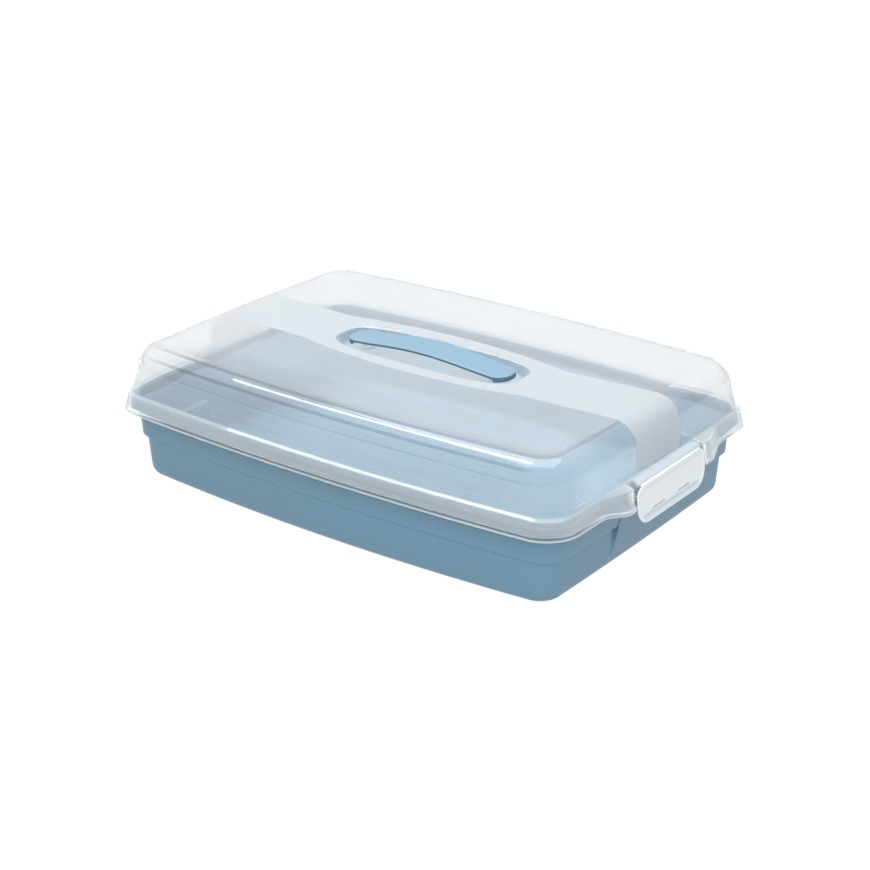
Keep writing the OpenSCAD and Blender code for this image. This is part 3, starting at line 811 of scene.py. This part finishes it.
# Handle ----------------------------------------------------------------------------------
END_HALF, NECK_HALF, NECK_X, MIDDLE_HALF, CAP_ROUND = 13.5, 13.25, 58.5, 15.0, 12.0
SIDE_FROM, SIDE_TO = 12, 20  # the rings of the handle between which its side lies
END_STEPS, LONG_STEPS, STRAP_POINTS = 24, 60, 360
STRAP_KEEPS = (0.03, 0.2, 0.4, 0.6, 0.8, 0.93)  # rings over the strap's faces, from the middle out


def strap_half(x):
    """Half the strap's width: full in the middle, waisted at the necks, with ends of their own."""
    x = abs(x)
    if x < NECK_X:
        return NECK_HALF + (MIDDLE_HALF - NECK_HALF) * cos(pi / 2 * x / NECK_X) ** 2
    wide = NECK_HALF + (END_HALF - NECK_HALF) * fall(-x, -CAP_START, -NECK_X)
    into = x - (HALF_HANDLE - CAP_ROUND)
    if into <= 0:
        return wide
    return wide - CAP_ROUND + max(0.0, CAP_ROUND**2 - into**2) ** 0.5


def arch_at(x):
    """The height of the strap's top."""
    return HANDLE_TOP - ARCH_RISE * sin(pi / 2 * min(1.0, abs(x) / HALF_HANDLE)) ** 2


def strap_bottom(x):
    """The lower edge of the strap's side: thin along the grip, with a deep skirt round each end."""
    deep = fall(-abs(x), -CAP_START - 1.0, -CAP_START + 1.5)
    return (arch_at(x) - STRAP_THICK) * (1 - deep) + CAP_SKIRT * deep


def strap_outline():
    """The strap seen from above, anticlockwise, with points spaced evenly along it."""
    start = -HALF_HANDLE + CAP_ROUND
    xs = [start - CAP_ROUND * cos(pi / 2 * k / END_STEPS) for k in range(END_STEPS)]
    xs += [start + (HALF_HANDLE - CAP_ROUND) * k / LONG_STEPS for k in range(LONG_STEPS)]
    left = [(x, -strap_half(x)) for x in xs] + [(0.0, -strap_half(0.0))]
    right = [(-x, y) for x, y in reversed(left[:-1])]
    lower = left + right
    upper = [(x, -y) for x, y in reversed(lower)]
    return evenly(lower + upper[1:-1], STRAP_POINTS)


def make_handle():
    outline = strap_outline()

    def top(inset, down):
        return [(x, y, arch_at(x) - down) for x, y in drawn_in(outline, inset)]

    def low(inset, up):
        return [(x, y, strap_bottom(x) + up) for x, y in drawn_in(outline, inset)]

    def across(keep, inset, down):
        inner = drawn_in(outline, inset)
        return [(x, y, arch_at(x) - down) for x, y in shrunk(inner, (0.0, 0.0), keep)]

    rings = [across(k, 3.0, 0.0) for k in STRAP_KEEPS]
    rings += [top(2.6, 0.0), top(1.3, 0.06)]
    for k in range(6):
        a = pi / 2 * k / 5
        rings.append(top(0.9 - 0.9 * sin(a), 0.12 + 0.8 * (1 - cos(a))))
    rings += [low(0.0, 0.7), low(0.0, 0.4), low(0.12, 0.12)]
    rings += [low(0.4, 0.0), low(1.1, 0.0), low(1.4, 0.1)]
    rings += [top(1.5, STRAP_THICK - 0.1), top(1.9, STRAP_THICK - 0.02)]
    rings += [across(k, 3.0, STRAP_THICK) for k in reversed(STRAP_KEEPS)]
    bm = bmesh.new()
    lofted(bm, rings, material_at=lambda k: int(SIDE_FROM < k < SIDE_TO))
    boss = softened(
        [
            ((PIN_RADIUS + 0.15, POST_TOP + 1.6), 0),
            ((PIN_RADIUS + 0.15, POST_TOP + 0.2), 0.2),
            ((POST_RADIUS + 1.0, POST_TOP + 0.2), 0.3),
            ((POST_RADIUS + 1.0, POST_TOP + 1.9), 0),
        ],
        steps=3,
    )
    for side in (-1, 1):
        lofted(bm, circle_rings(side * POST_X, boss))
    finishes = [
        satin_blue("satin_blue_grip", GRIP_DEEP, GRIP_LIGHT),
        # the side: the tray's blue with painted shade
        satin_blue("satin_blue_grip_side_painted_shade", shade=grip_side_painted_shade),
    ]
    return finished(
        "strap_handle", bm, finishes, "lid", ["handle"], casts=False
    )


# Clips -----------------------------------------------------------------------------------
SADDLE_HALF, SADDLE_INNER, SADDLE_TOP, SADDLE_CORNER = 43.5, 204.4, 72.5, 7.0
SADDLE_ENDS = (0.0, 0.15, 0.5, 1.0, 2.0, 3.2, 4.6, 6.0, 7.5)  # rings in from each end
NOSE_TOP_ANGLE, NOSE_LOW_ANGLE = 112, 184
NOSE_RADIUS, GROOVE_RADIUS, BEAD_RADIUS = 2.1, 1.3, 1.1
HOOK_START, HOOK_LENGTH, HOOK_TOP, HOOK_HEIGHT, HOOK_TIP = 9.0, 17.0, 50.2, 2.0, 205.03
SLOT_TOP, SLOT_HEIGHT = 48.2, 1.2
FLAP_TRIM, FLAP_MIDDLE, FLAP_TOP, FLAP_POINTS = 0.985, 54.0, 68.9, 300
FLAP_CORNER, FLAP_CORNER_Y = 14.0, 34.0
PANEL_OUT, GROOVE_DEPTH = 1.30, 0.65
FLAP_KEEPS = (0.03, 0.12, 0.22, 0.32, 0.42, 0.52, 0.62, 0.7, 0.78, 0.85, 0.91, 0.96)
BEAD_SEGMENTS = 28


def nose_arc(radius):
    """Points round the hinge's axis, from the top of the saddle's nose to its lower end."""
    angles = [
        radians(NOSE_TOP_ANGLE + (NOSE_LOW_ANGLE - NOSE_TOP_ANGLE) * k / 8) for k in range(9)
    ]
    return [(HINGE_X + radius * cos(a), HINGE_Z + radius * sin(a)) for a in angles]


def saddle_section():
    """The saddle cut across, as x and z, with the groove that the flap's bead turns in."""
    nose, groove = nose_arc(NOSE_RADIUS), nose_arc(GROOVE_RADIUS)
    corners = [
        ((SADDLE_INNER, SHOULDER_TOP), 0),
        ((SADDLE_INNER, SHOULDER_TOP + 0.6), 0.3),
        ((SADDLE_INNER + 1.0, SADDLE_TOP), 0.5),
        ((209.6, SADDLE_TOP), 0.8),
        (nose[0], 0.2),
        (groove[0], 0.1),
        *((p, 0) for p in groove[1:-1]),
        (groove[-1], 0.1),
        (nose[-1], 0.2),
        ((206.2, SHOULDER_TOP), 0.2),
    ]
    return softened(corners, closed=True, steps=4)


def make_saddle(name, turn, node, finish):
    section = saddle_section()
    ys = [-SADDLE_HALF + e for e in SADDLE_ENDS] + [-30, -20, -10, 0, 10, 20, 30]
    ys += [SADDLE_HALF - e for e in reversed(SADDLE_ENDS)]
    rings = []
    for y in ys:
        near = max(0.0, abs(y) - (SADDLE_HALF - SADDLE_CORNER))
        across = (SADDLE_CORNER**2 - min(near, SADDLE_CORNER - 0.01) ** 2) ** 0.5
        limit = SADDLE_INNER + SADDLE_CORNER - across
        rim = 0.35 * fall(SADDLE_HALF - abs(y), 0.0, 0.6) ** 2
        rings.append(
            [(max(x, limit), y, z - (rim if z > SHOULDER_TOP + 1.0 else 0.0)) for x, z in section]
        )
    bm = bmesh.new()
    lofted(bm, rings)
    if turn:
        bmesh.ops.scale(bm, vec=(-1, -1, 1), verts=bm.verts[:])
    return finished(name, bm, [finish], "lid", [node], casts=False)


def flap_curve(z):
    """How far the flap leans out at a height."""
    return FLAP_FLARE * max(0.0, (HINGE_Z - z) / (HINGE_Z - FLAP_BOTTOM)) ** 1.3


def flap_outline():
    """The flap seen square on, as y and z, with full lower corners and slanting upper ones."""
    angles = [pi / 2 * k / 12 for k in range(13)]
    half = [((0.0, FLAP_BOTTOM), 0), ((15.0, FLAP_BOTTOM), 0)]
    half += [
        ((FLAP_CORNER_Y + FLAP_CORNER * sin(a), FLAP_MIDDLE - FLAP_CORNER * cos(a)), 0)
        for a in angles
    ]
    half += [((47.9, 62.6), 1.2), ((46.6, 66.0), 1.5)]
    half += [((42.4, FLAP_TOP), 1.2), ((20.0, FLAP_TOP), 0)]
    other = [((-p[0], p[1]), s) for p, s in reversed(half[1:])]
    path = evenly(softened(half + other, closed=True, steps=4), FLAP_POINTS)
    return [(y * FLAP_TRIM, z) for y, z in path]


def make_flap(name, turn, node, body, finish):
    outline, middle = flap_outline(), (0.0, FLAP_MIDDLE)

    def sheet(inset, out, keep=1.0):
        path = shrunk(drawn_in(outline, inset), middle, keep)
        return [(FLAP_INNER + flap_curve(z) + out, y, z) for y, z in path]

    def panel_out(y, z):
        """How far the panel stands out, behind its rim and with a finger groove at its foot."""
        groove = fall(abs(z - FINGER_Z), 0.6, 3.4) * fall(abs(y), 38.0, 44.0)
        return PANEL_OUT - GROOVE_DEPTH * groove

    def panel(inset, keep=1.0, lift=0.0):
        path = shrunk(drawn_in(outline, inset), middle, keep)
        return [(FLAP_INNER + flap_curve(z) + panel_out(y, z) + lift, y, z) for y, z in path]

    rings = [panel(3.2, k) for k in FLAP_KEEPS]
    rings += [panel(3.2), panel(2.7, lift=0.12), sheet(2.3, 1.75)]
    rings += [sheet(1.9, 2.08), sheet(1.5, 2.18), sheet(1.0, 2.18)]
    for k in range(1, 7):
        a = pi / 2 * k / 6
        rings.append(sheet(0.9 - 0.9 * sin(a), 1.28 + 0.9 * cos(a)))
    rings += [sheet(0.5, 1.0), sheet(1.3, 0.62), sheet(2.1, 0.28)]
    rings += [sheet(2.7, 0.06), sheet(3.1, 0.0)]
    rings += [sheet(3.6, 0.0, k) for k in reversed(FLAP_KEEPS)]
    bm = bmesh.new()
    lofted(bm, rings)
    cut_slots(bm)
    for side in (-1, 1):
        add_hook(bm, side)
    add_bead(bm)
    if turn:
        bmesh.ops.scale(bm, vec=(-1, -1, 1), verts=bm.verts[:])
    return finished(name, bm, [finish], body, [node])


def box_in(bm, low, high, bevel=0.0):
    """Adds a block between two corners to a mesh."""
    made = bmesh.ops.create_cube(bm, size=1.0)["verts"]
    for v in made:
        v.co = Vector((a + (b - a) * (c + 0.5)) * MM for a, b, c in zip(low, high, v.co))
    if bevel:
        edges = list({e for v in made for e in v.link_edges})
        bmesh.ops.bevel(
            bm, geom=edges, offset=bevel * MM, offset_type="OFFSET", segments=2, profile=0.5,
            affect="EDGES", material=-1,
        )


def cut_slots(bm):
    """Cuts the two long slots that are left above the hooks in moulding."""
    plate, cutter = (bpy.data.meshes.new(n) for n in ("uncut_plate", "slot_cutter"))
    bmesh.ops.recalc_face_normals(bm, faces=bm.faces[:])
    bm.to_mesh(plate)
    cut = bmesh.new()
    for side in (-1, 1):
        y = sorted((side * HOOK_START, side * (HOOK_START + HOOK_LENGTH)))
        low, high = SLOT_TOP - SLOT_HEIGHT, SLOT_TOP
        box_in(cut, (FLAP_INNER - 2, y[0], low), (FLAP_INNER + 6, y[1], high))
    bmesh.ops.recalc_face_normals(cut, faces=cut.faces[:])
    cut.to_mesh(cutter)
    cut.free()
    whole, tool = (bpy.data.objects.new(m.name, m) for m in (plate, cutter))
    for made in (whole, tool):
        bpy.context.scene.collection.objects.link(made)
    slots = whole.modifiers.new("slots", "BOOLEAN")
    slots.operation, slots.object, slots.solver = "DIFFERENCE", tool, "EXACT"
    bm.clear()
    bm.from_object(whole, bpy.context.evaluated_depsgraph_get())
    for made in (whole, tool):
        bpy.data.objects.remove(made)


def add_hook(bm, side):
    """One of the two hooks that catch under the tray's lug."""
    y = sorted((side * HOOK_START, side * (HOOK_START + HOOK_LENGTH)))
    box_in(
        bm,
        (HOOK_TIP, y[0], HOOK_TOP - HOOK_HEIGHT),
        (FLAP_INNER + flap_curve(HOOK_TOP) + 0.4, y[1], HOOK_TOP),
        0.4,
    )


def add_bead(bm):
    """The rounded top edge that the flap turns on."""
    profile = [(0.05, -41.0), (0.8, -41.0), (BEAD_RADIUS, -40.7)]
    profile += [(r, -y) for r, y in reversed(profile)]
    angles = [2 * pi * k / BEAD_SEGMENTS for k in range(BEAD_SEGMENTS)]
    lofted(
        bm,
        [[(HINGE_X + r * cos(a), y, HINGE_Z + r * sin(a)) for a in angles] for r, y in profile],
    )


# The object ------------------------------------------------------------------------------
make_tray()
make_lid()
make_handle()
saddle_finish = milky("milky_saddle", SADDLE_DEEP, SADDLE_LIGHT, 0.56)
flap_finish = milky("milky_flap", PLATE_DEEP, PLATE_LIGHT, 0.14, groove_shaded=True)
make_saddle("right_saddle", False, "right_clip_saddle", saddle_finish)
make_saddle("left_saddle", True, "left_clip_saddle", saddle_finish)
make_flap("right_flap_plate", False, "right_clip_flap", "right_flap", flap_finish)
make_flap("left_flap_plate", True, "left_clip_flap", "left_flap", flap_finish)


# Camera, floor and light -----------------------------------------------------------------
CAMERA_AZ, CAMERA_EL, CAMERA_FAR = 0.637996, 0.407252, 1488.601
CAMERA_SIDE, CAMERA_UP, FOCAL_PIXELS, FRAME_PIXELS = -3.208, -35.879, 1888.557, 870.0
SENSOR = 36.0
FLOOR_RADIUS, FLOOR_DROP, FLOOR_MATT, FLOOR_GLOW, GLOW_HELD = 9.0, 0.0004, 0.13, 0.95, 0.46
WHITE, WORLD_DIM, WORLD_WHITE = (1.0, 1.0, 1.0, 1.0), 0.54, 1.05


def make_camera():
    """The photograph's own camera, fitted to it, with no shift."""
    level = Vector((sin(CAMERA_AZ), -cos(CAMERA_AZ), 0.0))
    back = level * cos(CAMERA_EL) + Vector((0.0, 0.0, sin(CAMERA_EL)))
    right = Vector((cos(CAMERA_AZ), sin(CAMERA_AZ), 0.0))
    up = back.cross(right)
    data = bpy.data.cameras.new("camera")
    data.sensor_width = SENSOR
    data.lens = SENSOR * FOCAL_PIXELS / FRAME_PIXELS
    data.clip_start, data.clip_end = 0.05, 60.0
    camera = bpy.data.objects.new("camera", data)
    camera.location = (back * CAMERA_FAR - right * CAMERA_SIDE - up * CAMERA_UP) * MM
    camera.rotation_euler = back.to_track_quat("Z", "Y").to_euler()
    bpy.context.scene.collection.objects.link(camera)
    bpy.context.scene.camera = camera


def make_floor():
    """A pale floor that glows evenly, and less on what stands on it."""
    bm = bmesh.new()
    bmesh.ops.create_circle(bm, segments=96, radius=FLOOR_RADIUS, cap_ends=True)
    mesh = bpy.data.meshes.new("floor")
    bm.to_mesh(mesh)
    bm.free()
    f = Finish("pale_floor")
    matt = f.node("ShaderNodeBsdfDiffuse", sockets={"Color": (FLOOR_MATT,) * 3}).outputs[0]
    bounced = Level(f, f.node("ShaderNodeLightPath").outputs["Is Diffuse Ray"])
    strength = FLOOR_GLOW - bounced * GLOW_HELD
    glow = f.node("ShaderNodeEmission", sockets={"Strength": strength}).outputs[0]
    both = f.node("ShaderNodeAddShader", sockets={0: matt, 1: glow}).outputs[0]
    mesh.materials.append(f.done(both))
    floor = bpy.data.objects.new("floor", mesh)
    floor.location.z = -FLOOR_DROP
    bpy.context.scene.collection.objects.link(floor)


def soft_light(name, place, aim, size, power, mirrored=True):
    """An oblong lamp. mirrored says whether it shows in gloss and through the clear lid."""
    data = bpy.data.lights.new(name, "AREA")
    data.shape, data.size, data.size_y, data.energy = "RECTANGLE", size[0], size[1], power
    lamp = bpy.data.objects.new(name, data)
    lamp.location = place
    lamp.visible_glossy = lamp.visible_transmission = mirrored
    lamp.rotation_euler = (Vector(place) - Vector(aim)).to_track_quat("Z", "Y").to_euler()
    bpy.context.scene.collection.objects.link(lamp)


def make_world():
    """White to the eye, dimmer as a light."""
    world = bpy.data.worlds.new("studio")
    bpy.context.scene.world = world
    world.use_nodes = True
    tree = world.node_tree
    tree.nodes.clear()
    out = tree.nodes.new("ShaderNodeOutputWorld")
    dim, white = (tree.nodes.new("ShaderNodeBackground") for _ in range(2))
    for shade, strength in ((dim, WORLD_DIM), (white, WORLD_WHITE)):
        shade.inputs["Color"].default_value = WHITE
        shade.inputs["Strength"].default_value = strength
    mix, rays = tree.nodes.new("ShaderNodeMixShader"), tree.nodes.new("ShaderNodeLightPath")
    tree.links.new(rays.outputs["Is Camera Ray"], mix.inputs[0])
    tree.links.new(dim.outputs[0], mix.inputs[1])
    tree.links.new(white.outputs[0], mix.inputs[2])
    tree.links.new(mix.outputs[0], out.inputs["Surface"])


make_camera()
make_floor()
make_world()
soft_light("top_softbox", (-0.2, 0.4, 2.4), (0.0, 0.0, 0.05), (2.4, 2.0), 60.0)
soft_light("left_strip", (-0.76, -0.1, 1.55), (0.0, -0.1, 0.1), (0.25, 0.95), 8.5)
soft_light("front_fill", (1.0, -1.45, 0.9), (0.0, 0.0, 0.05), (2.2, 1.4), 22.0, False)
scene = bpy.context.scene
scene.view_settings.view_transform = "Standard"
scene.view_settings.look = "None"
scene.view_settings.exposure = 0.0
